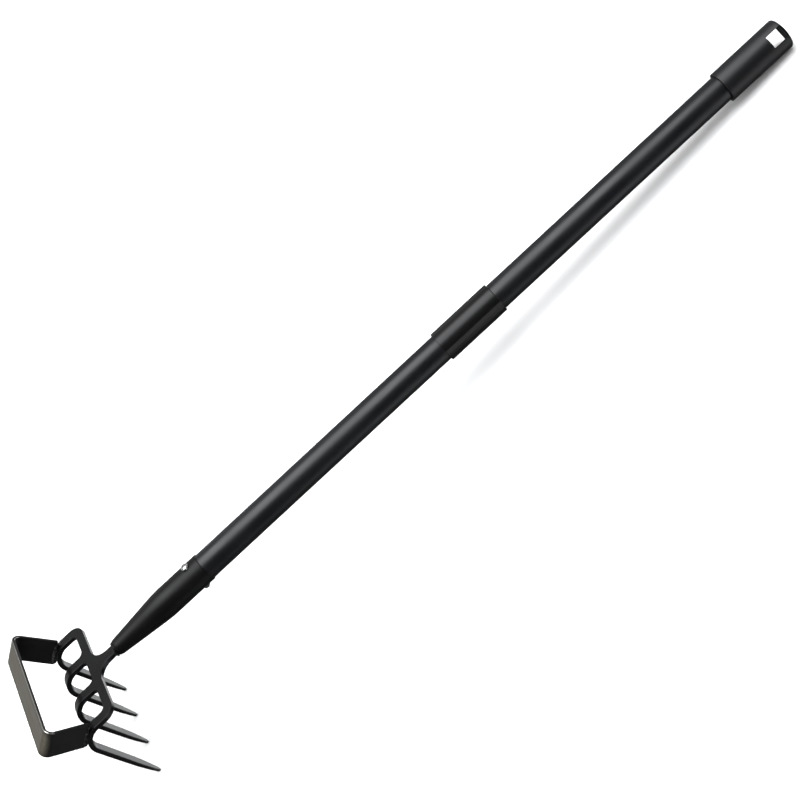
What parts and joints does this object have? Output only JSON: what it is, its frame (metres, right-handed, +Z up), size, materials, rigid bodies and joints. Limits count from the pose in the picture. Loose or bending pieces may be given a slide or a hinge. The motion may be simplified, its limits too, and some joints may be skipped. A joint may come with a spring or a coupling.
{
  "type": "cultivator hoe",
  "caption": "Long-handled garden tool with a bent-plate cultivator fork, a welded stirrup hoe blade, a tapered socket and a sectional tube handle with a hanging hole.",
  "frame": {"origin": "centre of the bounding box at its base, on the ground that the tine tips and the end cap rest on", "axes": "+Y from the hoe blade towards the end cap, along the ground under the handle, which leans down by 5 degrees towards the cap; +Z up; +X across the head"},
  "size_m": [0.1512, 0.956, 0.1411],
  "materials": {
    "fork_steel": "satin black powder coat",
    "blade_steel": "dark ground steel with bright edges",
    "weld_steel": "rippled weld under black coating",
    "socket_paint": "satin black",
    "tube_paint": "satin black powder coat",
    "spigot_steel": "drawn tube",
    "zinc": "bright zinc plated",
    "sleeve_plastic": "moulded black with a gloss front",
    "cap_plastic": "moulded black, satin"
  },
  "bodies": {
    "lower_section": {"fork": "fork_steel", "hoe_blade": "blade_steel", "weld_bead_right": "weld_steel", "weld_bead_left": "weld_steel", "neck_weld": "weld_steel", "socket": "socket_paint", "socket_screw": "zinc", "socket_nut": "zinc", "lower_tube": "tube_paint", "joint_spigot": "spigot_steel"},
    "sleeve": {"coupling_sleeve": "sleeve_plastic"},
    "upper_section": {"upper_tube": "tube_paint", "end_cap": "cap_plastic"}
  },
  "joints": [
    {"name": "sleeve_slide", "type": "slide", "parent": "lower_section", "child": "sleeve", "axis": [0, 0.9961, -0.0882], "range_m": [-0.305, 0.285]},
    {"name": "upper_pull", "type": "slide", "parent": "lower_section", "child": "upper_section", "axis": [0, 0.9961, -0.0882], "range_m": [0, 0.05]}
  ]
}
